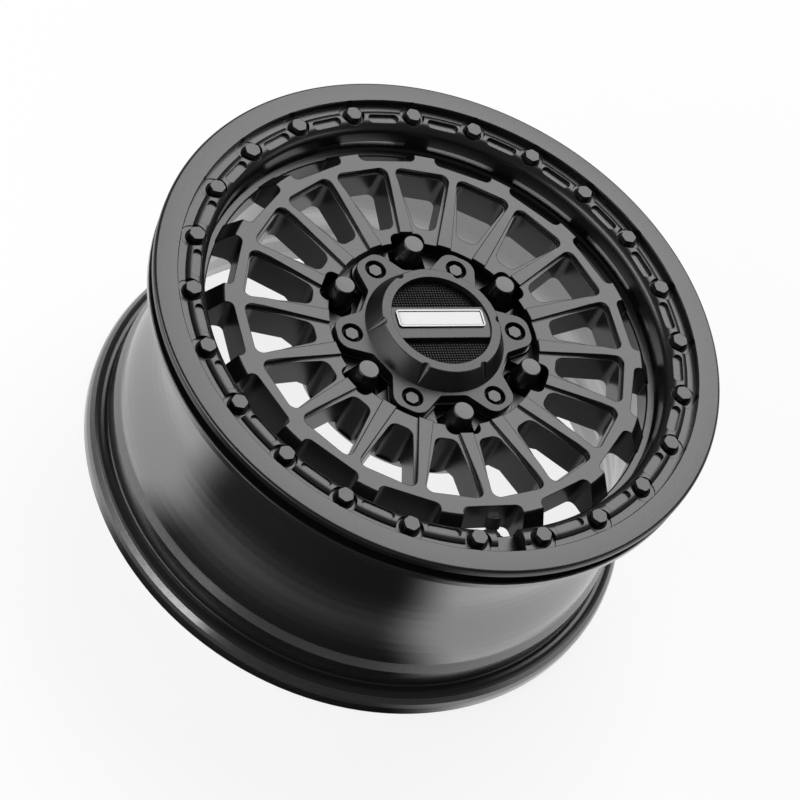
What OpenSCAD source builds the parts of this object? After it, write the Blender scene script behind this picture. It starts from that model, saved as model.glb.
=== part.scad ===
// Bolt-ring off-road wheel, 15 x 7 in, lying on its inboard flange with the outboard face up.
// Every depth is measured down from the front face of the clamp ring.

/* [Overall] */
// Width from the inboard flange to the face of the clamp ring
overall_w = 194; // [185:1:210]
// Radius of the inboard flange
flange_r = 205; // [203:0.5:208]
// Segments on a quarter of a rounded corner in the cast openings
corner_steps = 5; // [3:1:8]

/* [Clamp ring] */
// Outer radius of the ring
ring_r = 204; // [203:0.5:206]
// Thickness of the ring at its outer edge
ring_edge_t = 6; // [5:0.5:8]
// Inner radius of the flat outer face
ring_face_r = 187; // [186.5:0.1:187.5]
// Bevel on the inner edge of the flat face
ring_face_bevel = 0.6; // [0.3:0.1:1]
// Bevel on the outer edge of the flat face
ring_edge_bevel = 1; // [0.5:0.1:2]
// Depth of the groove inside the flat face
ring_groove_d = 5.3; // [4.5:0.1:6]
// Inner radius of that groove
ring_groove_r = 180.6; // [180:0.1:182]
// Depth of the raised pads between the bolts
ring_pad_d = 3.2; // [2.5:0.1:4]
// Inner radius of the ring
ring_inner_r = 167.5; // [166:0.1:168]
// Radius of the rounding from the pads into the opening
ring_lip_r = 6; // [4:0.5:7]
// Depth of the ring's mating face on the casting
ring_mate_d = 15.5; // [14.5:0.1:16.5]
// Radius of the ring's body under the outer face
ring_body_r = 189; // [188.5:0.1:190]
// Bevel where the ring meets the casting
seam_bevel = 0.6; // [0.3:0.1:1]

/* [Ring bolts] */
// Number of ring bolts
bolt_count = 24; // [12:4:28]
// Radius of the ring-bolt circle
bolt_circle_r = 177; // [176.5:0.1:177.5]
// Across flats of the hexagon head
bolt_hex_af = 10.4; // [9:0.1:11]
// Depth of the top of the head
bolt_top_d = 0.4; // [0:0.1:1]
// Depth of the chamfer round the head
bolt_chamfer = 0.6; // [0.3:0.1:1]
// Shank diameter
bolt_shank = 6; // [5:0.5:7]
// Depth of the end of the shank
bolt_end_d = 26; // [24:0.5:27]
// Radius of the recess round each head
bolt_recess_r = 9.2; // [9:0.1:9.6]
// How far the recess is centred outside the bolt circle
bolt_recess_shift = 1.8; // [1.5:0.1:2]
// Depth of the recess floor
bolt_recess_d = 8.6; // [8:0.1:9.5]
// Washer diameter
washer_od = 14.4; // [13:0.2:15]
// Washer thickness
washer_t = 1.2; // [1:0.1:1.6]

/* [Ring slots] */
// Radius at the middle of the slots between the bolts
slot_mid_r = 173.8; // [173:0.1:174.5]
// Width of a slot
slot_w = 6.5; // [5:0.1:7]
// Length of a slot
slot_l = 23; // [18:0.5:25]
// Depth of the slot floor
slot_d = 8; // [6:0.5:10]
// Width of the gap in the ring over the valve
valve_gap_w = 19.4; // [17:0.2:21]
// Radius that the gap reaches
valve_gap_r = 186; // [184:0.2:186.2]

/* [Barrel] */
// Radius of the outboard flange of the casting
front_flange_r = 203.4; // [202:0.2:204]
// Thickness of that flange
front_flange_t = 6; // [5:0.5:7]
// Radius of the drop centre
drop_r = 172; // [170:0.5:174]
// Depth at which the drop centre starts to widen
drop_end_d = 92; // [85:1:100]
// Depth at which the bead side is reached
bead_start_d = 151; // [148:1:153]
// Radius at the start of the bead side
bead_start_r = 188; // [187:0.5:189]
// Radius of the safety hump
hump_r = 191.5; // [191:0.1:192]
// Radius of the inboard bead seat
seat_r = 189.8; // [189:0.1:190.3]
// Wall thickness of the barrel
barrel_wall = 5.5; // [4.5:0.5:7]
// Inner radius of the neck where the tabs land
neck_r = 161; // [159:0.5:162]
// Depth of the shelf round the neck
shelf_d = 29.4; // [28:0.2:31]
// Depth of the bottom of the neck
neck_end_d = 47; // [45:1:50]

/* [Spoked face] */
// Number of spokes
spoke_count = 18; // [12:2:20]
// Depth of the outer part of the face
face_d = 15; // [14:0.1:16]
// Radius at which the spoke tops start to fall towards the hub
face_fall_r = 124; // [115:1:130]
// Depth of the spoke tops at the hub opening
spoke_hub_d = 19.8; // [18:0.1:20.5]
// Spoke width at the outer band
spoke_w_out = 5.6; // [5:0.1:9]
// Spoke width at the hub opening
spoke_w_in = 10.4; // [8:0.1:12]
// Distance from the axis to the inner edge of the outer band
band_in_r = 137.2; // [134:0.1:140]
// Depth of the web outside its slope
web_out_d = 19.2; // [18:0.1:20]
// Radius at which the web starts to fall towards the hub
web_fall_r = 106; // [100:1:110]
// Depth of the web at the hub opening
web_hub_d = 21.6; // [21:0.1:22.5]
// Depth of the back of the spokes
spoke_back_d = 43; // [38:1:45]
// Corner radius of the upper window outline
window_corner_r = 5.5; // [4:0.5:7]

/* [Windows] */
// Distance from the axis to the outer edge of a window
window_out_r = 135.2; // [132:0.1:136]
// Distance from the axis to the inner end of a window
window_in_r = 88.6; // [86:0.1:92]
// Ledge beside the spoke at the outer end
ledge_out = 1.5; // [1:0.1:3]
// Ledge beside the spoke at the inner end
ledge_in = 3.4; // [2:0.1:4]
// Corner radius at the outer end
window_out_corner_r = 4.5; // [3:0.5:6]
// Corner radius at the inner end
window_in_corner_r = 6.2; // [4:0.2:6.4]

/* [Tabs and notches] */
// Number of notches round the outer band
notch_count = 16; // [12:4:20]
// Distance from the axis to the bottom of a notch
notch_r = 144.3; // [142:0.1:146]
// Half angle of a notch
notch_half_a = 8.3; // [7:0.1:9]
// Corner radius of a notch
notch_corner_r = 4.5; // [3:0.5:6]
// Radius at which the tabs start to slope down
tab_r = 152.2; // [150:0.2:154]

/* [Hub] */
// Diameter of the lug circle
lug_circle_d = 139.7; // [139.6:0.1:139.8]
// Diameter of the hub bore
hub_bore_d = 106; // [104:0.5:108]
// Diameter of the bore that the cap fits
cap_bore_d = 101; // [100:0.2:102]
// Depth at which the two bores meet
cap_bore_end_d = 48; // [46:1:50]
// Depth of the mounting face
mount_d = 66; // [62:1:70]
// Radius of the mounting pad
mount_pad_r = 88; // [86:1:92]
// Radius of the hub opening in the web
hub_open_r = 76.5; // [75.5:0.1:77.5]
// Depth of the hub floor round the cap seat
hub_floor_d = 31.5; // [30:0.1:33]
// Width of a lug pocket
lug_pocket_w = 25; // [24:0.2:26]
// Radius that a lug pocket reaches
lug_pocket_r = 84; // [83:0.2:85]
// Corner radius of a lug pocket
lug_pocket_corner_r = 5.5; // [4:0.5:7]
// Depth of the wide part of a lug pocket
lug_pocket_d = 38; // [36:0.5:42]
// Diameter of the socket space round a lug nut
lug_socket_od = 25; // [24.4:0.2:26]
// Depth of the floor round the nut seat
lug_floor_d = 50; // [48:0.5:52]
// Diameter of the nut seat at its mouth
lug_seat_od = 21.6; // [21:0.2:22.6]
// Diameter of the lug hole
lug_hole_d = 15.2; // [14.8:0.2:16]

/* [Lug nuts] */
// Depth of the tip of a nut
nut_tip_d = 13.8; // [12:0.2:16]
// Diameter of the flat tip
nut_tip_od = 13.8; // [12:0.2:15]
// Depth at which the taper meets the body
nut_shoulder_d = 27; // [24:0.5:30]
// Diameter of the body
nut_od = 20.4; // [19:0.2:21.2]
// Diameter of the stud bore
stud_bore_d = 12.2; // [12:0.1:12.4]
// Depth of the blind end of the stud bore
stud_bore_top_d = 28; // [24:0.5:30]
// Depth of the foot of the nut
nut_foot_d = 62; // [60:0.5:64]
// Gap between the nut and its seat
nut_fit = 0.1; // [0.05:0.05:0.2]

/* [Centre cap] */
// Depth of the cap plate
cap_plate_d = 21.3; // [20:0.1:22]
// Thickness of the cap plate
cap_plate_t = 7; // [6:0.5:8]
// Radius of the ear corners
ear_corner_r = 73.5; // [72:0.1:74.5]
// Half angle between the corners of an ear
ear_half_a = 8.5; // [7:0.1:10]
// Rounding of the ear corners
ear_round_r = 10; // [6:0.5:11]
// Radius at the ends of the flats between the ears
flat_end_r = 53.5; // [53:0.1:54.5]
// Half angle of those flats
flat_half_a = 10.5; // [9:0.1:12]
// Rounding at the ends of the flats
flat_round_r = 5; // [2:0.5:8]
// Margin of the cap seat round the cap
cap_seat_margin = 2.5; // [1:0.1:3]
// Radius of the dome at its base
dome_base_r = 50.4; // [50:0.1:51]
// Radius of the top ring of the dome
dome_top_r = 43.4; // [42:0.1:44.5]
// Depth of the top ring
dome_top_d = 7.1; // [6:0.1:8]
// Radius of the round recess
recess_r = 36.3; // [35:0.1:37]
// Depth of the mesh
mesh_d = 12; // [11:0.1:13]
// Radius of the mesh insert
mesh_r = 39; // [38.5:0.1:39.5]
// Thickness of the mesh insert
mesh_t = 1.6; // [1.4:0.1:2]
// Pitch of the ribs on the mesh insert
mesh_pitch = 3; // [2:0.5:4]
// Height of the bar across the recess
bar_w = 25.7; // [24:0.1:27]
// Offset of the middle of the bar
bar_y = -1.1; // [-2:0.1:2]
// Depth of the top of the bar
bar_d = 8.6; // [8:0.1:9.5]
// Length of the blank plate on the bar
plate_l = 64.5; // [60:0.5:65]
// Height of that plate
plate_w = 14; // [12:0.1:15]
// Offset of the middle of that plate
plate_y = 1.8; // [0:0.1:3]
// Thickness of that plate
plate_t = 1.4; // [1:0.1:1.6]
// Height of the cap skirt in the bore
skirt_h = 15; // [10:0.5:17]
// Wall of the cap skirt
skirt_wall = 2.6; // [2:0.1:3]
// Gap between the skirt and the bore
skirt_fit = 0.2; // [0.1:0.05:0.3]
// Radius at the wide end of the flutes in the dome
flute_r = 3.8; // [3:0.1:4.2]

/* [Cap screws] */
// Radius of the screw circle
screw_circle_r = 61.3; // [61:0.1:61.8]
// Radius of the counterbore in the ears
screw_recess_r = 7.6; // [7.2:0.1:8]
// Depth of the counterbore floor
screw_floor_d = 25.8; // [25:0.1:26.2]
// Diameter of the screw head
screw_head_od = 9.8; // [9:0.1:10.4]
// Height of the screw head
screw_head_h = 2.9; // [2.5:0.1:3.2]
// Across flats of the hexagon socket
screw_hex_af = 4; // [3:0.5:5]
// Screw shank diameter
screw_shank = 5; // [4:0.5:6]
// Depth of the end of the screw
screw_end_d = 42; // [38:0.5:44]
// Outer diameter of the dark washer
screw_washer_od = 14.2; // [13:0.1:14.4]
// Thickness of the dark washer
screw_washer_t = 0.8; // [0.6:0.1:1]

/* [Valve] */
// Angle between the valve and the wheel axis
valve_tilt = 35; // [33:1:37]
// Radius at the valve's inner spot face
valve_r = 160.4; // [160:0.1:161]
// Depth at the valve's inner spot face
valve_d = 31; // [30:0.1:32]
// Wall clamped by the valve
valve_wall = 6; // [5.5:0.1:6.5]
// Diameter of the valve hole
valve_hole_d = 8.8; // [8.6:0.1:9]
// Diameter of the valve body
valve_body_d = 8; // [7.8:0.1:8]
// Length of the valve above the spot face
valve_l = 17; // [15:0.5:18]
// Diameter of the valve's foot and seal
valve_foot_d = 13.4; // [13:0.1:13.8]
// Diameter of the recess for the foot
valve_recess_d = 15; // [14.5:0.1:15.2]
// Across flats of the valve nut
valve_nut_af = 11; // [10:0.5:12]

/* [Fits] */
// Clearance of a bolt in its through hole
hole_fit = 0.3; // [0.2:0.05:0.5]
// Clearance of a shank in its threaded hole
thread_fit = 0.05; // [0.02:0.01:0.1]

/* [Hidden] */
$fn = 96;
black = "#1c1c1e";
dark = "#0f0f10";
steel = "#3a3b3d";
lug_count = 6;
cap_bottom_d = cap_plate_d + cap_plate_t;
mesh_bottom_d = mesh_d + mesh_t;
lug_r = lug_circle_d / 2;
drop_in_r = drop_r - barrel_wall;

// Height above the inboard flange of a depth below the front face
function hz(d) = overall_w - d;
function pol(r, a) = [r * cos(a), r * sin(a)];
function unit(v) = v / norm(v);
// A profile of radius and depth turned into radius and height
function prof(pts) = [for (p = pts) [p[0], hz(p[1])]];
function straight(a, b, n) = [for (i = [0:n]) a + (b - a) * i / n];
// A smooth step from one radius and depth to another
function ease(a, b, n) =
    [for (i = [0:n]) [a[0] + (b[0] - a[0]) * (1 - cos(180 * i / n)) / 2, a[1] + (b[1] - a[1]) * i / n]];
function arc(c, r, a0, a1, n) = [for (i = [0:n]) c + pol(r, a0 + (a1 - a0) * i / n)];
// Difference of two directions, between -180 and 180 degrees
function turn(a, b) = let (t = b - a) t > 180 ? t - 360 : t < -180 ? t + 360 : t;
// One rounded corner at p1 of the outline p0, p1, p2
function corner(p0, p1, p2, r, n) =
    let (u = unit(p0 - p1), v = unit(p2 - p1), h = acos(u * v) / 2,
         t = r / tan(h), c = p1 + unit(u + v) * r / sin(h),
         s = p1 + u * t - c, e = p1 + v * t - c,
         a = atan2(s[1], s[0]), d = turn(a, atan2(e[1], e[0])))
    arc(c, r, a, a + d, n);
// An outline with a radius at each of its points
function rounded(pts, radii, n) =
    let (m = len(pts))
    [for (i = [0:m - 1]) each radii[i] > 0
        ? corner(pts[(i + m - 1) % m], pts[i], pts[(i + 1) % m], radii[i], n) : [pts[i]]];
// Half width of a spoke at a distance from the axis, on a straight taper
function spoke_half(r) =
    (spoke_w_in + (spoke_w_out - spoke_w_in) * (r - hub_open_r) / (band_in_r - hub_open_r)) / 2;
// Side of the cell between two spokes, a margin inside the spoke's edge, at distance x along the cell's axis
function cell_half(x, margin) =
    let (a = 180 / spoke_count) x * tan(a) - (spoke_half(x / cos(a)) + margin) / cos(a);
// Outline of the cap and its ears, grown by a margin
function ear_outline(m) =
    let (pts = [for (k = [0:5]) each [
            pol(flat_end_r + m, 60 * k - 30 + flat_half_a), pol(ear_corner_r + m, 60 * k - ear_half_a),
            pol(ear_corner_r + m, 60 * k + ear_half_a), pol(flat_end_r + m, 60 * k + 30 - flat_half_a)]],
         radii = [for (k = [0:5]) each [flat_round_r, ear_round_r + m, ear_round_r + m, flat_round_r]])
    rounded(pts, radii, corner_steps);

module ring_of(count, r, first) {
    for (k = [0:count - 1])
        rotate(first + 360 * k / count) translate([r, 0, 0]) children();
}

// A vertical round bar between two depths
module bar_d(r, d_top, d_bottom) {
    translate([0, 0, hz(d_bottom)]) cylinder(h = d_bottom - d_top, r = r);
}

// An upright prism between two depths
module prism_d(pts, d_top, d_bottom) {
    translate([0, 0, hz(d_bottom)]) linear_extrude(d_bottom - d_top) polygon(pts);
}

// Barrel with both flanges, the bead seat and the neck
module barrel() {
    rotate_extrude() polygon(prof(concat(
        [[ring_inner_r, ring_mate_d + seam_bevel], [ring_inner_r + seam_bevel, ring_mate_d],
         [front_flange_r - 0.8, ring_mate_d], [front_flange_r, ring_mate_d + 0.8],
         [front_flange_r, ring_mate_d + front_flange_t - 0.8],
         [front_flange_r - 0.8, ring_mate_d + front_flange_t], [192, 23.6], [183, 27.5]],
        ease([178, 32], [drop_r, 56], 4),
        ease([drop_r, drop_end_d], [bead_start_r, bead_start_d], 9),
        [[hump_r, bead_start_d + 6], [hump_r, bead_start_d + 10], [seat_r, bead_start_d + 13],
         [seat_r + 1, 174.5]],
        arc([195, 182.2], 7.6, -115, -45, 4),
        [[203.2, 180.6], [flange_r - 0.4, 183.4], [flange_r, 186], [flange_r, overall_w - 4],
         [flange_r - 1.2, overall_w - 1.4], [flange_r - 4, overall_w], [192, overall_w],
         [189, overall_w - 2.5], [seat_r - 3.4, 178], [seat_r - 4.6, bead_start_d + 10]],
        ease([bead_start_r - barrel_wall, bead_start_d], [drop_in_r, drop_end_d], 9),
        [[drop_in_r, 58], [neck_r, neck_end_d], [neck_r, shelf_d + 1.6], [neck_r + 0.8, shelf_d + 0.8],
         [ring_inner_r - 1.2, shelf_d], [ring_inner_r, shelf_d - 1.2]])));
}

// Solid of the spoked face and the hub before anything is cut from it
module face_blank() {
    rotate_extrude() polygon(prof([
        [cap_bore_d / 2, spoke_hub_d], [hub_open_r, spoke_hub_d], [face_fall_r, face_d],
        [tab_r - 0.8, face_d], [tab_r, face_d + 0.5], [neck_r + 1.6, shelf_d + 1],
        [neck_r + 3, shelf_d + 3], [neck_r + 3, neck_end_d - 1], [152, spoke_back_d],
        [104, spoke_back_d], [95, spoke_back_d + 6], [mount_pad_r, mount_d - 2], [mount_pad_r - 2, mount_d],
        [hub_bore_d / 2 + 1, mount_d], [hub_bore_d / 2, mount_d - 1],
        [hub_bore_d / 2, cap_bore_end_d], [cap_bore_d / 2, cap_bore_end_d]]));
}

// Everything above the web, for cutting the face down between the spokes
module above_web() {
    rotate_extrude() polygon(prof([
        [0, -5], [0, web_hub_d], [hub_open_r, web_hub_d], [web_fall_r, web_out_d], [160, web_out_d], [160, -5]]));
}

// The openings between the spokes: a wide shallow one and a narrower one that goes right through
module window_cells(upper) {
    margin_out = upper ? 0 : ledge_out;
    margin_in = upper ? 0 : ledge_in;
    out_x = upper ? band_in_r : window_out_r;
    in_x = upper ? 66 : window_in_r;
    r_out = upper ? window_corner_r : window_out_corner_r;
    r_in = upper ? 0 : window_in_corner_r;
    pts = [[in_x, -cell_half(in_x, margin_in)], [out_x, -cell_half(out_x, margin_out)],
           [out_x, cell_half(out_x, margin_out)], [in_x, cell_half(in_x, margin_in)]];
    ring_of(spoke_count, 0, 0)
        prism_d(rounded(pts, [r_in, r_out, r_out, r_in], corner_steps), 5, upper ? web_hub_d + 1 : 60);
}

// Notches between the tabs of the outer band
module notches() {
    out_x = 172;
    pts = [[notch_r, -notch_r * tan(notch_half_a)], [out_x, -out_x * tan(notch_half_a)],
           [out_x, out_x * tan(notch_half_a)], [notch_r, notch_r * tan(notch_half_a)]];
    ring_of(notch_count, 0, 0)
        prism_d(rounded(pts, [notch_corner_r, 0, 0, notch_corner_r], corner_steps), 5, 60);
}

// Pockets, socket spaces, seats and holes of the lug nuts
module lug_cuts() {
    w = lug_pocket_w / 2;
    pts = [[55, -w], [lug_pocket_r, -w], [lug_pocket_r, w], [55, w]];
    ring_of(lug_count, 0, 30) {
        prism_d(rounded(pts, [0, lug_pocket_corner_r, lug_pocket_corner_r, 0], corner_steps), 5, lug_pocket_d);
        translate([lug_r, 0, 0]) {
            bar_d(lug_socket_od / 2, 5, lug_floor_d);
            rotate_extrude() polygon(prof([[0, lug_floor_d - 1], [lug_seat_od / 2, lug_floor_d - 1],
                [lug_seat_od / 2, lug_floor_d],
                [lug_hole_d / 2, lug_floor_d + (lug_seat_od - lug_hole_d) / 2 * sqrt(3)],
                [lug_hole_d / 2, mount_d + 1], [0, mount_d + 1]]));
        }
    }
}

// The spoked face: spokes raised over a lower web, windows, tabs, notches and the hub
module spoked_face() {
    difference() {
        face_blank();
        intersection() {
            window_cells(true);
            above_web();
        }
        window_cells(false);
        notches();
        difference() {
            bar_d(hub_open_r, 5, hub_floor_d);
            prism_d(ear_outline(cap_seat_margin), cap_bottom_d, hub_floor_d + 1);
        }
        bar_d(cap_bore_d / 2, 5, cap_bore_end_d + 1);
        lug_cuts();
        ring_of(lug_count, screw_circle_r, 0) bar_d(screw_shank / 2 + thread_fit, 20, screw_end_d + 2);
    }
}

// Places its children on the valve's axis, with +Z towards the tip and zero at the spot face
module on_valve() {
    rotate(-90) translate([valve_r, 0, hz(valve_d)]) rotate([0, -valve_tilt, 0]) children();
}

module rim() {
    color(black) difference() {
        union() {
            barrel();
            spoked_face();
            intersection() {
                on_valve() translate([0, 0, -16]) cylinder(h = 16, r = 12);
                bar_d(neck_r + 4, shelf_d - 4, neck_end_d + 6);
            }
        }
        ring_of(bolt_count, bolt_circle_r, 180 / bolt_count)
            bar_d(bolt_shank / 2 + thread_fit, ring_mate_d - 1, bolt_end_d + 0.6);
        on_valve() {
            cylinder(h = 12, r = 9);
            translate([0, 0, -valve_wall - 1]) cylinder(h = valve_wall + 2, r = valve_hole_d / 2);
            translate([0, 0, -40]) cylinder(h = 40 - valve_wall, r = valve_recess_d / 2);
        }
    }
}

// Clamp ring, its bolt recesses, the slots between them and the gap over the valve
module beadlock_ring() {
    color(black) difference() {
        rotate_extrude() polygon(prof(concat(
            [[ring_inner_r, ring_mate_d - seam_bevel]],
            [for (p = arc([ring_inner_r + ring_lip_r, ring_pad_d + ring_lip_r], ring_lip_r, 180, 270, 6)) p],
            [[ring_groove_r, ring_pad_d], [ring_groove_r, ring_groove_d], [ring_face_r, ring_groove_d],
             [ring_face_r, ring_face_bevel], [ring_face_r + ring_face_bevel, 0],
             [ring_r - ring_edge_bevel, 0], [ring_r, ring_edge_bevel], [ring_r, ring_edge_t - 1],
             [ring_r - 1, ring_edge_t], [ring_body_r, ring_edge_t], [ring_body_r, ring_mate_d],
             [ring_inner_r + seam_bevel, ring_mate_d]])));
        ring_of(bolt_count, bolt_circle_r, 180 / bolt_count) {
            translate([bolt_recess_shift, 0, 0]) bar_d(bolt_recess_r, -1, bolt_recess_d);
            bar_d(bolt_shank / 2 + hole_fit, 0, ring_mate_d + 1);
        }
        for (k = [0:bolt_count - 1]) if (k != bolt_count * 3 / 4)
            rotate(360 * k / bolt_count) prism_d(rounded(
                [[slot_mid_r - slot_w / 2, -slot_l / 2], [slot_mid_r + slot_w / 2, -slot_l / 2],
                 [slot_mid_r + slot_w / 2, slot_l / 2], [slot_mid_r - slot_w / 2, slot_l / 2]],
                [for (i = [0:3]) slot_w / 2 - 0.15], corner_steps), -1, slot_d);
        rotate(-90) prism_d(rounded(
            [[150, -valve_gap_w / 2], [valve_gap_r, -valve_gap_w / 2],
             [valve_gap_r, valve_gap_w / 2], [150, valve_gap_w / 2]],
            [0, 2.5, 2.5, 0], corner_steps), -1, ring_mate_d + 1);
    }
}

module ring_bolts() {
    color(steel) ring_of(bolt_count, bolt_circle_r, 180 / bolt_count) {
        head_bottom = bolt_recess_d - washer_t;
        intersection() {
            rotate(30) translate([0, 0, hz(head_bottom)])
                cylinder(h = head_bottom - bolt_top_d, d = bolt_hex_af / cos(30), $fn = 6);
            rotate_extrude() polygon(prof([[0, bolt_top_d], [bolt_hex_af / 2 - 0.2, bolt_top_d],
                [bolt_hex_af / 2 + 0.9, bolt_top_d + bolt_chamfer], [bolt_hex_af / 2 + 0.9, head_bottom],
                [0, head_bottom]]));
        }
        bar_d(bolt_shank / 2, head_bottom - 1, bolt_end_d);
    }
}

module ring_washers() {
    color(steel) ring_of(bolt_count, bolt_circle_r, 180 / bolt_count) difference() {
        bar_d(washer_od / 2, bolt_recess_d - washer_t, bolt_recess_d);
        bar_d(bolt_shank / 2 + hole_fit, 0, bolt_recess_d + 1);
    }
}

// Closed lug nuts with a tapered nose, a cone that sits in the casting and a blind stud bore
module lug_nuts() {
    cone_h = (lug_seat_od - lug_hole_d) / 2 * sqrt(3);
    color(dark) ring_of(lug_count, lug_r, 30) rotate_extrude() polygon(prof([
        [0, nut_tip_d], [nut_tip_od / 2 - 0.8, nut_tip_d], [nut_tip_od / 2, nut_tip_d + 0.8],
        [nut_od / 2 - 0.6, nut_shoulder_d], [nut_od / 2, nut_shoulder_d + 1.4],
        [nut_od / 2, lug_floor_d - nut_fit * 2 + (lug_seat_od - nut_od) / 2 * sqrt(3)],
        [lug_hole_d / 2 - nut_fit, lug_floor_d - nut_fit + cone_h],
        [lug_hole_d / 2 - nut_fit, nut_foot_d], [stud_bore_d / 2, nut_foot_d],
        [stud_bore_d / 2, stud_bore_top_d], [0, stud_bore_top_d]]));
}

// Cap with six screwed ears, a fluted dome and a bar across its recess
module centre_cap() {
    skirt_r = cap_bore_d / 2 - skirt_fit;
    color(black) difference() {
        union() {
            prism_d(ear_outline(0), cap_plate_d, cap_bottom_d);
            rotate_extrude() polygon(prof([
                [30, cap_plate_d + 2], [dome_base_r, cap_plate_d + 2], [dome_base_r, cap_plate_d],
                [dome_top_r, dome_top_d + 0.5], [dome_top_r - 0.5, dome_top_d], [30, dome_top_d]]));
            bar_d(skirt_r, cap_bottom_d - 1, cap_bottom_d + skirt_h);
        }
        difference() {
            bar_d(recess_r, 0, mesh_d);
            translate([-60, bar_y - bar_w / 2, hz(mesh_d) - 1]) cube([120, bar_w, mesh_d - bar_d + 1]);
        }
        bar_d(mesh_r + 0.1, mesh_d, cap_bottom_d);
        bar_d(skirt_r - skirt_wall, cap_plate_d + 3, cap_bottom_d + skirt_h + 1);
        ring_of(lug_count, screw_circle_r, 0) {
            bar_d(screw_recess_r, 10, screw_floor_d);
            bar_d(screw_shank / 2 + hole_fit, 10, cap_bottom_d + 1);
        }
        ring_of(lug_count, 0, 0) translate([dome_base_r + 0.1, 0, hz(cap_plate_d - 0.8)])
            rotate([0, -24, 0]) cylinder(h = 18, r1 = 0.5, r2 = flute_r);
    }
}

// Ribbed disc behind the bar
module cap_mesh() {
    n = floor(recess_r * 2 / mesh_pitch / 2);
    color(dark) difference() {
        bar_d(mesh_r, mesh_d, mesh_bottom_d);
        for (i = [-n:n]) translate([-recess_r * cos(asin(i * mesh_pitch / recess_r)) + 0.5,
            i * mesh_pitch - mesh_pitch / 4, hz(mesh_d + 0.6)])
            cube([2 * recess_r * cos(asin(i * mesh_pitch / recess_r)) - 1, mesh_pitch / 2, 1]);
    }
}

// Blank plate with a raised edge
module cap_plate() {
    function frame(m) = [[-plate_l / 2 + m, plate_y - plate_w / 2 + m], [plate_l / 2 - m, plate_y - plate_w / 2 + m],
        [plate_l / 2 - m, plate_y + plate_w / 2 - m], [-plate_l / 2 + m, plate_y + plate_w / 2 - m]];
    color("#d8d8da") difference() {
        prism_d(rounded(frame(0), [2.4, 2.4, 2.4, 2.4], corner_steps), bar_d - plate_t, bar_d);
        prism_d(rounded(frame(1.2), [1.4, 1.4, 1.4, 1.4], corner_steps), bar_d - plate_t - 1, bar_d - plate_t + 0.5);
    }
}

module cap_screws() {
    head_bottom = screw_floor_d - screw_washer_t;
    color(steel) ring_of(lug_count, screw_circle_r, 0) difference() {
        rotate_extrude() polygon(prof([[0, head_bottom - screw_head_h],
            [screw_head_od / 2 - 0.7, head_bottom - screw_head_h], [screw_head_od / 2, head_bottom - screw_head_h + 0.7],
            [screw_head_od / 2, head_bottom], [screw_shank / 2, head_bottom], [screw_shank / 2, screw_end_d],
            [0, screw_end_d]]));
        translate([0, 0, hz(head_bottom - 1)]) cylinder(h = 6, d = screw_hex_af / cos(30), $fn = 6);
    }
}

module cap_washers() {
    color(dark) ring_of(lug_count, screw_circle_r, 0) difference() {
        bar_d(screw_washer_od / 2, screw_floor_d - screw_washer_t, screw_floor_d);
        bar_d(screw_shank / 2 + hole_fit, 0, screw_floor_d + 1);
    }
}

// Valve body with its foot under the wall and a bore for the core
module valve_stem() {
    color("#b9a36b") on_valve() difference() {
        union() {
            translate([0, 0, -valve_wall - 4.5]) cylinder(h = 2.5, r = valve_foot_d / 2);
            translate([0, 0, -valve_wall - 3]) cylinder(h = valve_l + valve_wall + 3, r = valve_body_d / 2);
        }
        translate([0, 0, -valve_wall - 10]) cylinder(h = 40, r = 1.6);
        translate([0, 0, valve_l - 9]) cylinder(h = 12, r = 2.6);
    }
}

module valve_seal() {
    color(dark) on_valve() difference() {
        translate([0, 0, -valve_wall - 2]) cylinder(h = 2, r = valve_foot_d / 2);
        translate([0, 0, -valve_wall - 3]) cylinder(h = 4, r = valve_body_d / 2 + thread_fit);
    }
}

module valve_washer() {
    color(steel) on_valve() difference() {
        cylinder(h = 1.2, r = 7.4);
        translate([0, 0, -1]) cylinder(h = 4, r = valve_body_d / 2 + thread_fit);
    }
}

module valve_nut() {
    color("#b9a36b") on_valve() difference() {
        translate([0, 0, 1.2]) cylinder(h = 3.8, d = valve_nut_af / cos(30), $fn = 6);
        translate([0, 0, -1]) cylinder(h = 8, r = valve_body_d / 2 + thread_fit);
    }
}

module valve_core() {
    color("#b9a36b") on_valve() {
        translate([0, 0, valve_l - 9]) cylinder(h = 7, r = 2.55);
        translate([0, 0, valve_l - 4]) cylinder(h = 4, r = 0.8);
    }
}

module valve_cap() {
    color(dark) on_valve() difference() {
        union() {
            translate([0, 0, valve_l - 8]) cylinder(h = 8, r = 5);
            translate([0, 0, valve_l - 0.5]) cylinder(h = 2, r1 = 5, r2 = 3.6);
        }
        translate([0, 0, valve_l - 9]) cylinder(h = 9.2, r = valve_body_d / 2 + thread_fit);
    }
}

rim();
beadlock_ring();
ring_bolts();
ring_washers();
lug_nuts();
centre_cap();
cap_mesh();
cap_plate();
cap_screws();
cap_washers();
valve_stem();
valve_seal();
valve_washer();
valve_nut();
valve_core();
valve_cap();
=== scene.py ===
import math

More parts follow.
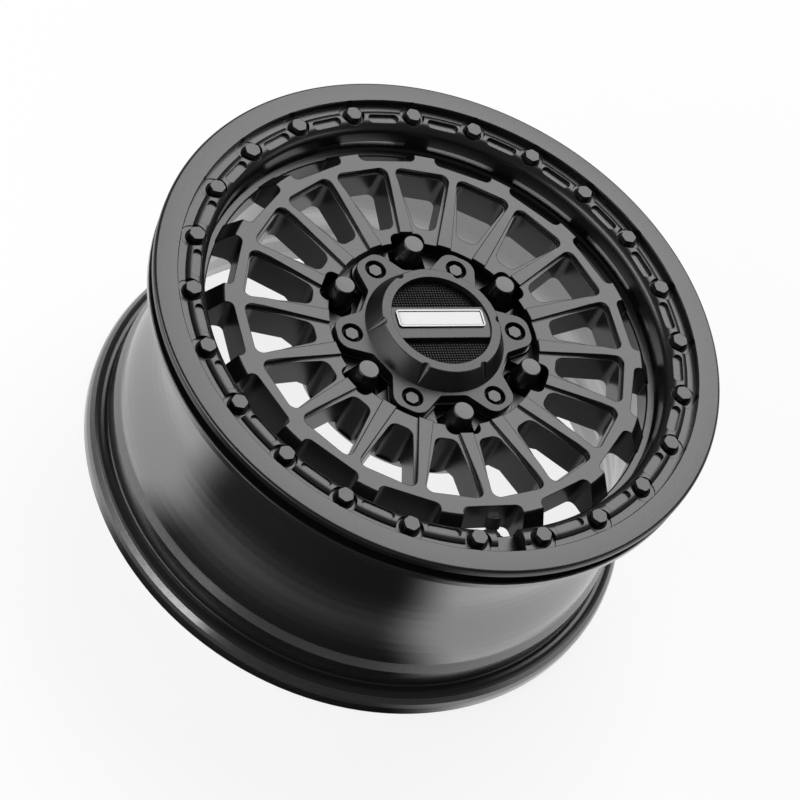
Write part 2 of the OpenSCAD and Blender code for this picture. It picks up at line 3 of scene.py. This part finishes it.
import bmesh
import bpy
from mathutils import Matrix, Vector


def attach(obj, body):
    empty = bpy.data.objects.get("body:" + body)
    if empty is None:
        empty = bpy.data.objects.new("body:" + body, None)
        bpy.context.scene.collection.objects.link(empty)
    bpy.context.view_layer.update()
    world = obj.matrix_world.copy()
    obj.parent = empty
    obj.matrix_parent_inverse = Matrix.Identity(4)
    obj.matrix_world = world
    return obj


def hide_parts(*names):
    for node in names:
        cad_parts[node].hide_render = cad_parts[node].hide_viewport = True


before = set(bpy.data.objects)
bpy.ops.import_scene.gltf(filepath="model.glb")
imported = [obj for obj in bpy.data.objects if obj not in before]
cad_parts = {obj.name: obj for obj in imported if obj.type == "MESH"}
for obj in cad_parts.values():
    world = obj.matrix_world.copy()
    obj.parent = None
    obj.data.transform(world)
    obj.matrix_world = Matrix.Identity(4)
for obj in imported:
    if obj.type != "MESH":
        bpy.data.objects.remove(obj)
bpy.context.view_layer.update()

# ---------------------------------------------------------------- cast wheel
# One aluminium casting: spoked face, hub, neck, barrel and both flanges, machined where the
# ring and the tyre sit. It is powder coated satin black all over, with a very fine orange peel.

BLACK, BLACK_DUSTY = (0.0045, 0.0045, 0.0048), (0.0075, 0.0075, 0.0078)
CLOUD_SCALE, CLOUD_DETAIL, GRAIN_DETAIL = 14.0, 3.0, 2.0
GRAIN_RANGE, PEEL_HEIGHT = (0.3, 0.7), 0.0003
# Edges get a lighter colour, partly as wear and partly as painted highlight; the gain sets how much
# lighter.
EDGE_BEND, EDGE_WEAR_AND_HIGHLIGHT_GAIN = (0.99, 0.85), 1.6


def adder(tree):
    """A helper that adds nodes to a tree, and links or sets their inputs."""
    def add(kind, inputs=(), **settings):
        node = tree.nodes.new(kind)
        for key, value in settings.items():
            setattr(node, key, value)
        for key, value in dict(inputs).items():
            if isinstance(value, bpy.types.NodeSocket):
                tree.links.new(value, node.inputs[key])
            else:
                node.inputs[key].default_value = value
        return node
    return add


def finish(name):
    """A new material with its node tree, its shader and a helper that adds nodes."""
    material = bpy.data.materials.new(name)
    material.use_nodes = True
    tree = material.node_tree
    return material, tree, tree.nodes["Principled BSDF"], adder(tree)


def maths(add, operation, *values):
    """The sum, product or the like of values, some of them from nodes."""
    return add("ShaderNodeMath", dict(enumerate(values)), operation=operation).outputs[0]


def between(add, value, start, end, low=0.0, high=1.0):
    """low at start and high at end, for a value from a node."""
    return add("ShaderNodeMapRange", {"Value": value, "From Min": start, "From Max": end,
                                      "To Min": low, "To Max": high}).outputs["Result"]


def blended(add, factor, low, high):
    """A colour between two colours, by a factor from a node."""
    return add("ShaderNodeMix", {"Factor": factor, 6: low, 7: high}, data_type="RGBA").outputs[2]


def coated_metal(name, dark, light, rough, grain, peel, rounding, also=()):
    """Coat on metal: mottled colour, grained gloss, fine peel, softened edges, and edges painted
    lighter as wear and as painted highlight.
    """
    material, tree, shader, add = finish(name)
    place = add("ShaderNodeTexCoord").outputs["Object"]
    cloud = add("ShaderNodeTexNoise",
                {"Vector": place, "Scale": CLOUD_SCALE, "Detail": CLOUD_DETAIL}).outputs["Fac"]
    grains = add("ShaderNodeTexNoise",
                 {"Vector": place, "Scale": grain, "Detail": GRAIN_DETAIL}).outputs["Fac"]
    soft = add("ShaderNodeBevel", {"Radius": rounding}, samples=8, name="soft edges")
    normal = add("ShaderNodeNewGeometry").outputs["Normal"]
    bend = add("ShaderNodeVectorMath", {0: soft.outputs["Normal"], 1: normal},
               operation="DOT_PRODUCT")
    # Edges are painted lighter: partly wear, partly a painted highlight along rounded edges.
    edge = between(add, bend.outputs["Value"], *EDGE_BEND)
    tint = blended(add, cloud, (*dark, 1), (*light, 1))
    rubbed_and_highlit = [min(1, channel * EDGE_WEAR_AND_HIGHLIGHT_GAIN) for channel in light]
    bump = add("ShaderNodeBump", {"Height": grains, "Strength": peel, "Distance": PEEL_HEIGHT,
                                  "Normal": soft.outputs["Normal"]})
    tree.links.new(blended(add, edge, tint, (*rubbed_and_highlit, 1)), shader.inputs["Base Color"])
    tree.links.new(between(add, grains, *GRAIN_RANGE, *rough), shader.inputs["Roughness"])
    tree.links.new(bump.outputs["Normal"], shader.inputs["Normal"])
    for socket, value in dict(also).items():
        shader.inputs[socket].default_value = value
    return material


def dress(node, material):
    """Puts one material on a CAD node."""
    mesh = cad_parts[node].data
    mesh.materials.clear()
    mesh.materials.append(material)


EDGE_SOFT, WALL_SOFT = 0.0009, 0.0045
rim_black = coated_metal("rim_powder_coat", BLACK, BLACK_DUSTY, rough=(0.28, 0.33), grain=1400.0,
                         peel=0.05, rounding=EDGE_SOFT, also={"Coat Roughness": 0.2, "Coat IOR": 2.6})

# The barrel is turned before coating, so it comes out smoother and glossier than the cast face.
# Each pair is the value of radius, height or upward lean at which a zone starts and is full.
TURNED_R, TURNED_LEAN = (0.1635, 0.1665), (0.7, 0.4)
WALL_R, WALL_TOP, WALL_FOOT = (0.1900, 0.1885), (0.168, 0.165), (0.030, 0.034)

tree = rim_black.node_tree
add = adder(tree)
place = add("ShaderNodeTexCoord").outputs["Object"]
flat = add("ShaderNodeVectorMath", {0: place, 1: (1, 1, 0)}, operation="MULTIPLY")
radius = add("ShaderNodeVectorMath", {0: flat.outputs[0]}, operation="LENGTH").outputs["Value"]
height = add("ShaderNodeSeparateXYZ", {0: place}).outputs["Z"]
facing = add("ShaderNodeNewGeometry").outputs["True Normal"]
upward = add("ShaderNodeSeparateXYZ", {0: facing}).outputs["Z"]
turned = maths(add, "MULTIPLY", between(add, radius, *TURNED_R), between(add, upward, *TURNED_LEAN))
wall = maths(add, "MULTIPLY", between(add, radius, *WALL_R), between(add, height, *WALL_TOP))
wall = maths(add, "MULTIPLY", wall, between(add, height, *WALL_FOOT))
smooth = maths(add, "MULTIPLY_ADD", maths(add, "MULTIPLY", turned, wall), WALL_SOFT, EDGE_SOFT)
tree.links.new(turned, tree.nodes["Principled BSDF"].inputs["Coat Weight"])
tree.links.new(smooth, tree.nodes["soft edges"].inputs["Radius"])
dress("rim", rim_black)

# ---------------------------------------------------------------- clamp ring
# Turned and milled aluminium ring that clamps the tyre bead: a flat face, a groove, pads that
# fall into the opening, a recess round each bolt and a slot between them, in the same coat.

WIDTH = 0.194
BOLTS, BOLT_R = 24, 0.177
STEP = 360 / BOLTS
RING_R, RING_FACE_R, RING_GROOVE_R, RING_IN_R = 0.204, 0.1873, 0.1809, 0.1664
RING_BODY_R, COLLAR_R = 0.189, 0.1674
PAD_DEPTH, GROOVE_DEPTH, EDGE_DEPTH, MATE_DEPTH, COLLAR_DEPTH = 0.0032, 0.0054, 0.006, 0.0155, 0.0208
LIP_R, CROWN_R, EDGE_ROUND, LOW_ROUND, CHAMFER = 0.0085, 0.0088, 0.0022, 0.0008, 0.0006
CUT_START, NO_LENGTH = -0.002, 1e-7
RECESS_R, RECESS_SHIFT, RECESS_DEPTH = 0.0092, 0.0018, 0.006
HOLE_R, HOLE_START, HOLE_END = 0.0033, 0.004, 0.018
SLOT_MID_R, SLOT_W, SLOT_L, SLOT_CORNER, SLOT_DEPTH = 0.1738, 0.0065, 0.023, 0.0031, 0.0056
GAP_ANGLE, GAP_IN_R, GAP_R, GAP_W, GAP_CORNER, GAP_DEPTH = 270, 0.15, 0.186, 0.0194, 0.0025, 0.024


def curve(radius, depth, size, first, last, steps):
    """Points of radius and depth on an arc; 90 degrees points down into the wheel."""
    return [(radius + size * math.cos(math.radians(first + (last - first) * i / steps)),
             depth + size * math.sin(math.radians(first + (last - first) * i / steps)))
            for i in range(steps + 1)]


def spot(radius, degrees):
    """The place on a circle about the wheel's axis."""
    return radius * math.cos(math.radians(degrees)), radius * math.sin(math.radians(degrees))


def lathe(bm, section, steps, centre=(0, 0), turn=0.0, closed=True):
    """Turns points of radius and depth, which may change with the angle, about an upright axis."""
    rings = []
    for i in range(steps):
        angle = 2 * math.pi * i / steps
        points = section(angle) if callable(section) else section
        rings.append([bm.verts.new((centre[0] + radius * math.cos(angle + turn),
                                    centre[1] + radius * math.sin(angle + turn),
                                    WIDTH - depth)) for radius, depth in points])
    count = len(rings[0])
    for i in range(steps):
        here, there = rings[i], rings[(i + 1) % steps]
        for j in range(count if closed else count - 1):
            k = (j + 1) % count
            bm.faces.new((here[j], there[j], there[k], here[k]))
    if not closed:
        bm.faces.new([ring[0] for ring in reversed(rings)])
        bm.faces.new([ring[-1] for ring in rings])


def prism(bm, outline, top, bottom):
    """An upright block on an outline, between two depths."""
    low = [bm.verts.new((x, y, WIDTH - bottom)) for x, y in outline]
    high = [bm.verts.new((x, y, WIDTH - top)) for x, y in outline]
    bm.faces.new(list(reversed(low)))
    bm.faces.new(high)
    for i in range(len(outline)):
        j = (i + 1) % len(outline)
        bm.faces.new((low[i], low[j], high[j], high[i]))


def round_box(x0, x1, half, corner, degrees, steps=8):
    """Outline of a box along a radius with rounded corners, turned to an angle."""
    points = []
    for x, y, first in ((x1 - corner, half - corner, 0), (x0 + corner, half - corner, 90),
                        (x0 + corner, corner - half, 180), (x1 - corner, corner - half, 270)):
        for i in range(steps + 1):
            a = math.radians(first + 90 * i / steps)
            points.append((x + corner * math.cos(a), y + corner * math.sin(a)))
    c, s = math.cos(math.radians(degrees)), math.sin(math.radians(degrees))
    return [(x * c - y * s, x * s + y * c) for x, y in points]


def shade(mesh, sharp):
    """Shades a mesh smoothly but for edges sharper than an angle in degrees."""
    mesh.polygons.foreach_set("use_smooth", [True] * len(mesh.polygons))
    mesh.set_sharp_from_angle(angle=math.radians(sharp))


def as_object(bm, name, sharp=30):
    """Turns mesh code into an object."""
    bmesh.ops.dissolve_degenerate(bm, dist=NO_LENGTH, edges=bm.edges)
    bmesh.ops.recalc_face_normals(bm, faces=bm.faces)
    mesh = bpy.data.meshes.new(name)
    bm.to_mesh(mesh)
    bm.free()
    thing = bpy.data.objects.new(name, mesh)
    bpy.context.scene.collection.objects.link(thing)
    shade(mesh, sharp)
    return thing


def cut_away(piece, cutters, sharp=24):
    """Cuts each cutter out of a piece and keeps the result as plain mesh."""
    for cutter in cutters:
        modifier = piece.modifiers.new("cut", "BOOLEAN")
        modifier.object = cutter
        modifier.solver = "EXACT"
    evaluated = piece.evaluated_get(bpy.context.evaluated_depsgraph_get())
    result = bpy.data.meshes.new_from_object(evaluated)
    piece.modifiers.clear()
    piece.data = result
    for cutter in cutters:
        bpy.data.objects.remove(cutter)
    shade(result, sharp)


def mount(piece, material, slot, *nodes):
    """Gives a piece its material, fixes it to the wheel and hides the nodes it replaces; slot is not
    used.
    """
    piece.data.materials.append(material)
    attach(piece, "root")
    if nodes:
        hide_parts(*nodes)


section = ([(RING_IN_R, COLLAR_DEPTH - CHAMFER)]
           + curve(RING_IN_R + LIP_R, PAD_DEPTH + LIP_R, LIP_R, 180, 270, 10)
           + curve(RING_GROOVE_R - CROWN_R / 2, PAD_DEPTH + CROWN_R, CROWN_R, -90, -60, 6)
           + [(RING_GROOVE_R, GROOVE_DEPTH), (RING_FACE_R, GROOVE_DEPTH),
              (RING_FACE_R, CHAMFER), (RING_FACE_R + CHAMFER, 0)]
           + curve(RING_R - EDGE_ROUND, EDGE_ROUND, EDGE_ROUND, -90, 0, 8)
           + curve(RING_R - LOW_ROUND, EDGE_DEPTH - LOW_ROUND, LOW_ROUND, 0, 90, 6)
           + [(RING_BODY_R, EDGE_DEPTH), (RING_BODY_R, MATE_DEPTH), (COLLAR_R, MATE_DEPTH),
              (COLLAR_R, COLLAR_DEPTH), (RING_IN_R + CHAMFER, COLLAR_DEPTH)])
bm = bmesh.new()
lathe(bm, section, steps=360)
clamp_ring = as_object(bm, "clamp_ring")
recesses, holes, slots, gap = bmesh.new(), bmesh.new(), bmesh.new(), bmesh.new()
for i in range(BOLTS):
    bolt_angle, slot_angle = STEP * (i + 0.5), STEP * i
    lathe(recesses, [(RECESS_R, CUT_START), (RECESS_R, RECESS_DEPTH)], steps=64,
          centre=spot(BOLT_R + RECESS_SHIFT, bolt_angle), closed=False)
    lathe(holes, [(HOLE_R, HOLE_START), (HOLE_R, HOLE_END)], steps=32,
          centre=spot(BOLT_R, bolt_angle), closed=False)
    if slot_angle != GAP_ANGLE:
        prism(slots, round_box(SLOT_MID_R - SLOT_W / 2, SLOT_MID_R + SLOT_W / 2, SLOT_L / 2,
                               SLOT_CORNER, slot_angle), CUT_START, SLOT_DEPTH)
prism(gap, round_box(GAP_IN_R, GAP_R, GAP_W / 2, GAP_CORNER, GAP_ANGLE), CUT_START, GAP_DEPTH)
cut_away(clamp_ring, [as_object(recesses, "recesses"), as_object(slots, "slots"),
                      as_object(gap, "gap"), as_object(holes, "holes")])
ring_black = coated_metal("ring_powder_coat", BLACK, BLACK_DUSTY, rough=(0.27, 0.32), grain=1600.0,
                          peel=0.04, rounding=0.0005)
mount(clamp_ring, ring_black, "satin_black_casting", "beadlock_ring")

# ---------------------------------------------------------------- ring bolts
# Hexagon screws of black steel with a flat chamfered top, each on a black washer in its recess.
# The washers are made darker and duller than the other black parts, as painted shade of the
# recess. The screws clamp the ring to the casting, and their heads are all turned the same way.

BOLT_FLATS, BOLT_TOP_R, BOLT_SHANK_R = 0.010, 0.0053, 0.003
HEAD_TOP, HEAD_FOOT, BOLT_END = 0.0004, 0.0052, 0.026
BOLT_TURN = 25
HEAD_SLOPE, CORNER_KEPT, TIP_CHAMFER = 0.6, 0.992, 0.0005
WASHER_R, WASHER_CHAMFER = 0.0072, 0.0002


def hex_screw(flats, top_r, shank_r, top, foot, end):
    """Section of a hexagon head on a round shank, chamfered round its top and at its tip."""
    def section(angle):
        fold = (angle + math.pi / 6) % (math.pi / 3) - math.pi / 6
        corner = flats / 2 / math.cos(math.pi / 6) * CORNER_KEPT
        side = min(flats / 2 / math.cos(math.pi / 6 - abs(fold)), corner)
        fall = max(0.0, side - top_r) * HEAD_SLOPE
        return [(min(side, top_r), top), (side, top + fall), (side, foot), (shank_r, foot),
                (shank_r, end - TIP_CHAMFER), (shank_r - TIP_CHAMFER, end)]
    return section


bolt_black = coated_metal("bolt_black_oxide", (0.006, 0.006, 0.006), (0.012, 0.012, 0.012),
                          rough=(0.28, 0.36), grain=2200.0, peel=0.05, rounding=0.0003)
# Washers: black, but made darker and less glossy than the bolts as painted shade of the recesses.
washer_black_and_shade = coated_metal("washer_black_and_shade", (0.002, 0.002, 0.002), (0.004, 0.004, 0.004),
                            rough=(0.6, 0.75), grain=1500.0, peel=0.05, rounding=0.0002,
                            also={"Specular IOR Level": 0.12})
bolts, washers = bmesh.new(), bmesh.new()
for i in range(BOLTS):
    bolt_angle = STEP * (i + 0.5)
    at = spot(BOLT_R, bolt_angle)
    lathe(bolts, hex_screw(BOLT_FLATS, BOLT_TOP_R, BOLT_SHANK_R, HEAD_TOP, HEAD_FOOT, BOLT_END),
          steps=72, centre=at, turn=math.radians(bolt_angle + BOLT_TURN), closed=False)
    lathe(washers, [(HOLE_R, HEAD_FOOT), (WASHER_R - WASHER_CHAMFER, HEAD_FOOT),
                    (WASHER_R, HEAD_FOOT + WASHER_CHAMFER), (WASHER_R, RECESS_DEPTH),
                    (HOLE_R, RECESS_DEPTH)], steps=48, centre=at)
mount(as_object(bolts, "ring_screws", sharp=24), bolt_black, "dark_steel", "ring_bolts")
mount(as_object(washers, "ring_screw_washers"), washer_black_and_shade, "dark_steel", "ring_washers")

# ---------------------------------------------------------------- lug nuts
# Six closed steel nuts in gloss black, with a long taper, a flat tip and a conical seat.
# Each goes into the casting on a thin socket, so it has no hexagon to see.

LUGS, LUG_R = 6, 0.06985
NUT_BORE_R, NUT_BORE_END = 0.0061, 0.028
NUT_TUBE_R, NUT_END, SEAT_FOOT = 0.0075, 0.062, 0.0555
NUT_R, SEAT_TOP, SIDE_TOP, SHOULDER, SHOULDER_ROUND = 0.0102, 0.05085, 0.0284, 0.0282, 0.0008
TIP_R, TIP_DEPTH, TIP_ROUND = 0.0075, 0.0138, 0.001

nut_black = coated_metal("nut_gloss_black", (0.003, 0.003, 0.0032), (0.006, 0.006, 0.0062),
                         rough=(0.2, 0.26), grain=1800.0, peel=0.02, rounding=0.0004)
nut = ([(NUT_BORE_R, NUT_BORE_END), (NUT_BORE_R, NUT_END), (NUT_TUBE_R, NUT_END),
        (NUT_TUBE_R, SEAT_FOOT), (NUT_R, SEAT_TOP), (NUT_R, SIDE_TOP)]
       + curve(NUT_R - SHOULDER_ROUND, SHOULDER, SHOULDER_ROUND, 0, -60, 3)
       + curve(TIP_R - TIP_ROUND, TIP_DEPTH + TIP_ROUND, TIP_ROUND, -12, -90, 5))
nuts = bmesh.new()
for i in range(LUGS):
    lathe(nuts, nut, steps=64, centre=spot(LUG_R, 30 + 60 * i), closed=False)
mount(as_object(nuts, "closed_lug_nuts", sharp=40), nut_black, "dark_steel", "lug_nuts")

# ---------------------------------------------------------------- centre cap
# Moulded cap on six ears, with a fluted cone and a flat top ring, painted satin black. A bar
# of the same moulding crosses its round recess and carries the plate.

BAR_Y, BAR_HALF, BAR_TOP, BAR_FOOT, RECESS = -0.0011, 0.01287, 0.00857, 0.012, 0.0365
BAR_END_STEPS, BAR_EDGE = 12, 0.0004

cap_black = coated_metal("cap_satin_black", BLACK, BLACK_DUSTY, rough=(0.36, 0.42), grain=1500.0,
                         peel=0.04, rounding=0.0006)
dress("centre_cap", cap_black)

outline = []
for side in (1, -1):
    near, far = (math.asin((BAR_Y + end * BAR_HALF) / RECESS) for end in (-side, side))
    for i in range(BAR_END_STEPS + 1):
        a = near + (far - near) * i / BAR_END_STEPS
        outline.append((side * RECESS * math.cos(a), RECESS * math.sin(a)))
bm = bmesh.new()
prism(bm, outline, BAR_TOP, BAR_FOOT)
cap_bar = as_object(bm, "cap_bar")
bevel = cap_bar.modifiers.new("edges", "BEVEL")
bevel.width, bevel.segments = BAR_EDGE, 3
bevel.limit_method, bevel.angle_limit = "ANGLE", math.radians(60)
mount(cap_bar, cap_black, "black_cap")

# ---------------------------------------------------------------- cap mesh
# Black woven wire laid on a dark disc, held in the recess behind the bar. The two wire
# directions pass over and under each other.

DISC_R, DISC_TOP, DISC_FOOT = 0.039, 0.0128, 0.0136
WIRES, PITCH, WIRE_R, WAVE, SPAN, WEAVE_DEPTH = 18, 0.002, 0.00028, 0.0002, 0.0366, 0.01245
WIRE_SIDES = 5

mesh_black = coated_metal("mesh_wire_black", (0.003, 0.003, 0.003), (0.006, 0.006, 0.006),
                          rough=(0.3, 0.4), grain=2600.0, peel=0.04, rounding=0.0001,
                          also={"Specular IOR Level": 0.2})
bm = bmesh.new()
lathe(bm, [(DISC_R, DISC_TOP), (DISC_R, DISC_FOOT)], steps=96, closed=False)
for way in (0, 1):
    for n in range(-WIRES, WIRES + 1):
        offset = n * PITCH
        reach = math.floor(math.sqrt(SPAN ** 2 - offset ** 2) / (PITCH / 2))
        rows = []
        for k in range(-reach, reach + 1):
            along = k * PITCH / 2
            lift = WAVE * math.cos(math.pi * along / PITCH) * (1 if (n + way) % 2 else -1)
            row = []
            for j in range(WIRE_SIDES):
                a = 2 * math.pi * j / WIRE_SIDES + math.pi / 2
                side = offset + WIRE_R * math.cos(a)
                up = WIDTH - WEAVE_DEPTH + lift + WIRE_R * math.sin(a)
                row.append(bm.verts.new((along, side, up) if way == 0 else (side, along, up)))
            rows.append(row)
        for here, there in zip(rows, rows[1:]):
            for j in range(WIRE_SIDES):
                k = (j + 1) % WIRE_SIDES
                bm.faces.new((here[j], here[k], there[k], there[j]))
        bm.faces.new(rows[0])
        bm.faces.new(rows[-1])
mount(as_object(bm, "cap_wire_mesh", sharp=50), mesh_black, "dark_mesh", "cap_mesh")

# ---------------------------------------------------------------- cap plate
# Blank plate of bright painted metal with a raised border, stuck on the bar. A thin dark line just
# inside the border is painted shade in place of a groove, and its sides are painted dark as shade.

PLATE_Y, PLATE_HALF_L, PLATE_HALF_W, BORDER, LINE = 0.0018, 0.03225, 0.007, 0.0012, 0.0006
PLATE_SILVER, PLATE_PAINTED_SHADE = (0.72, 0.72, 0.73, 1), (0.01, 0.01, 0.01, 1)
PLATE_GRAIN, PLATE_ROUGH, SHADED_SIDE_LEAN = 1800.0, (0.32, 0.42), 0.5

plate_paint, tree, shader, add = finish("plate_satin_silver")
place = add("ShaderNodeTexCoord").outputs["Object"]
apart = add("ShaderNodeSeparateXYZ", {0: place})
grains = add("ShaderNodeTexNoise",
             {"Vector": place, "Scale": PLATE_GRAIN, "Detail": GRAIN_DETAIL}).outputs["Fac"]
past = []
for axis, middle, half in (("X", 0.0, PLATE_HALF_L), ("Y", PLATE_Y, PLATE_HALF_W)):
    size = maths(add, "ABSOLUTE", maths(add, "SUBTRACT", apart.outputs[axis], middle))
    past.append(maths(add, "SUBTRACT", size, half - BORDER - LINE / 2))
near = maths(add, "ABSOLUTE", maths(add, "MAXIMUM", *past))
# Painted shade: the thin line inside the border and every face that turns sideways are coloured dark.
line = maths(add, "LESS_THAN", near, LINE / 2)
facing = add("ShaderNodeNewGeometry").outputs["True Normal"]
upward = add("ShaderNodeSeparateXYZ", {0: facing}).outputs["Z"]
dark = maths(add, "MAXIMUM", line, maths(add, "LESS_THAN", upward, SHADED_SIDE_LEAN))
tree.links.new(blended(add, dark, PLATE_SILVER, PLATE_PAINTED_SHADE), shader.inputs["Base Color"])
tree.links.new(between(add, grains, *GRAIN_RANGE, *PLATE_ROUGH), shader.inputs["Roughness"])
dress("cap_plate", plate_paint)

# ---------------------------------------------------------------- cap screws
# Six small hexagon screws of black steel, each sunk in an ear on a black washer; the washer is
# made darker and duller than the other black parts, a painted shade that shows as a dark ring round
# the head.

EAR_R = 0.0613
SCREW_FLATS, SCREW_TOP_R, SCREW_SHANK_R = 0.0088, 0.0046, 0.0025
SCREW_TOP, SCREW_FOOT, SCREW_END = 0.0221, 0.025, 0.042

screws = bmesh.new()
for i in range(LUGS):
    lathe(screws, hex_screw(SCREW_FLATS, SCREW_TOP_R, SCREW_SHANK_R, SCREW_TOP, SCREW_FOOT,
                            SCREW_END),
          steps=72, centre=spot(EAR_R, 60 * i), turn=math.radians(60 * i + BOLT_TURN), closed=False)
mount(as_object(screws, "cap_hex_screws", sharp=24), bolt_black, "dark_steel", "cap_screws")
dress("cap_washers", washer_black_and_shade)

# ---------------------------------------------------------------- valve
# Short clamp-in brass valve, nickel plated, on a rubber seal, with a washer, a nut and a
# black dust cap. It stands in the neck under the gap in the ring.

valve_nickel = coated_metal("valve_nickel", (0.4, 0.38, 0.34), (0.5, 0.48, 0.44),
                            rough=(0.25, 0.35), grain=1500.0, peel=0.03, rounding=0.0003,
                            also={"Metallic": 1.0})
rubber = coated_metal("valve_rubber", (0.006, 0.006, 0.006), (0.012, 0.012, 0.012),
                      rough=(0.55, 0.7), grain=1200.0, peel=0.1, rounding=0.0003)
for node in ("valve_stem", "valve_nut", "valve_core"):
    dress(node, valve_nickel)
dress("valve_washer", bolt_black)
for node in ("valve_seal", "valve_cap"):
    dress(node, rubber)

# ---------------------------------------------------------------- studio
# White floor, a large overhead softbox behind the wheel, two low ones at its sides, a dim
# even sky, and a black card in front that only reflections show.

FLOOR_HALF, FLOOR_WHITE, FLOOR_SHARE = 15.0, (0.88, 0.88, 0.88, 1), 0.85
FRONT = math.radians(231.5)
CARD_IN, CARD_OUT, CARD_HEIGHT, CARD_SPREAD, CARD_STEPS = 0.17, 1.4, 0.002, math.radians(54), 16
CARD_BLACK, CARD_FADE = (0.01, 0.01, 0.01, 1), (0.62, 0.86)
DULL = 0.9
SKY_STRENGTH, LAMP_AIM = 0.18, Vector((0, 0, 0.15))


def backdrop(name, points, faces, material):
    """A flat piece of the studio."""
    mesh = bpy.data.meshes.new(name)
    mesh.from_pydata(points, [], faces)
    mesh.materials.append(material)
    thing = bpy.data.objects.new(name, mesh)
    bpy.context.scene.collection.objects.link(thing)
    return thing


# To the camera and to reflections the floor is nearly plain white; it still shows the shadow.
floor_white, tree, shader, add = finish("floor_white")
shader.inputs["Base Color"].default_value = FLOOR_WHITE
shader.inputs["Roughness"].default_value = DULL
shader.inputs["Specular IOR Level"].default_value = 0.0
ray = add("ShaderNodeLightPath")
seen = maths(add, "MAXIMUM", ray.outputs["Is Camera Ray"], ray.outputs["Is Glossy Ray"])
seen = maths(add, "MAXIMUM", seen, ray.outputs["Is Transmission Ray"])
share = maths(add, "MULTIPLY", seen, FLOOR_SHARE)
glow = add("ShaderNodeEmission", {"Color": (1, 1, 1, 1), "Strength": 1.0})
both = add("ShaderNodeMixShader", {0: share, 1: shader.outputs[0], 2: glow.outputs[0]})
tree.links.new(both.outputs[0], tree.nodes["Material Output"].inputs["Surface"])
corners = [(x * FLOOR_HALF, y * FLOOR_HALF, 0) for x, y in ((-1, -1), (1, -1), (1, 1), (-1, 1))]
floor = backdrop("floor", corners, [(0, 1, 2, 3)], floor_white)

# The card lies on the floor in front of the wheel and fades out at its two sides.
card_black, tree, shader, add = finish("card_black")
shader.inputs["Base Color"].default_value = CARD_BLACK
shader.inputs["Roughness"].default_value = DULL
place = add("ShaderNodeTexCoord").outputs["Object"]
flat = add("ShaderNodeVectorMath", {0: place, 1: (1, 1, 0)}, operation="MULTIPLY")
aim = add("ShaderNodeVectorMath", {0: flat.outputs[0]}, operation="NORMALIZE")
ahead = add("ShaderNodeVectorMath", {0: aim.outputs[0], 1: (math.cos(FRONT), math.sin(FRONT), 0)},
            operation="DOT_PRODUCT")
fade = add("ShaderNodeMapRange", {"Value": ahead.outputs["Value"], "From Min": CARD_FADE[0],
                                  "From Max": CARD_FADE[1]}, interpolation_type="SMOOTHSTEP")
clear = add("ShaderNodeBsdfTransparent")
veil = add("ShaderNodeMixShader",
           {0: fade.outputs["Result"], 1: clear.outputs[0], 2: shader.outputs[0]})
tree.links.new(veil.outputs[0], tree.nodes["Material Output"].inputs["Surface"])
fan = [(r * math.cos(FRONT + CARD_SPREAD * i / CARD_STEPS),
        r * math.sin(FRONT + CARD_SPREAD * i / CARD_STEPS), CARD_HEIGHT)
       for i in range(-CARD_STEPS, CARD_STEPS + 1) for r in (CARD_IN, CARD_OUT)]
card = backdrop("black_card", fan, [(i, i + 1, i + 3, i + 2) for i in range(0, len(fan) - 2, 2)],
                card_black)
card.visible_camera = card.visible_diffuse = card.visible_shadow = False

world = bpy.data.worlds.new("studio")
world.use_nodes = True
bpy.context.scene.world = world
sky = world.node_tree.nodes["Background"]
sky.inputs["Color"].default_value = (1, 1, 1, 1)
sky.inputs["Strength"].default_value = SKY_STRENGTH


def softbox(name, azimuth, elevation, distance, side_x, side_y, radiance):
    """An oblong lamp that faces the wheel, of the given radiance."""
    lamp = bpy.data.lights.new(name, "AREA")
    lamp.shape = "RECTANGLE"
    lamp.size, lamp.size_y = side_x, side_y
    lamp.energy = radiance * math.pi * side_x * side_y
    thing = bpy.data.objects.new(name, lamp)
    a, e = math.radians(azimuth), math.radians(elevation)
    away = Vector((math.cos(a) * math.cos(e), math.sin(a) * math.cos(e), math.sin(e)))
    thing.location = away * distance + LAMP_AIM
    thing.rotation_mode = "QUATERNION"
    thing.rotation_quaternion = away.to_track_quat("Z", "Y")
    bpy.context.scene.collection.objects.link(thing)


softbox("key", azimuth=51.5, elevation=52.0, distance=2.6, side_x=1.9, side_y=1.9, radiance=5.3)
softbox("left", azimuth=180.0, elevation=15.0, distance=1.2, side_x=1.6, side_y=0.36, radiance=7.0)
softbox("right", azimuth=330.0, elevation=7.0, distance=1.3, side_x=0.8, side_y=0.4, radiance=2.0)

# The photograph's view, from about 48 degrees above the front left.
lens = bpy.data.cameras.new("photo_view")
lens.lens = 120.747
lens.sensor_width = 36.0
lens.clip_start, lens.clip_end = 0.05, 100.0
camera = bpy.data.objects.new("photo_view", lens)
camera.rotation_mode = "QUATERNION"
camera.location = (-0.765135, -0.961360, 1.541722)
camera.rotation_quaternion = (0.9363669, 0.2838334, -0.1948451, -0.0684911)
bpy.context.scene.collection.objects.link(camera)
bpy.context.scene.camera = camera
bpy.context.scene.view_settings.view_transform = "Standard"
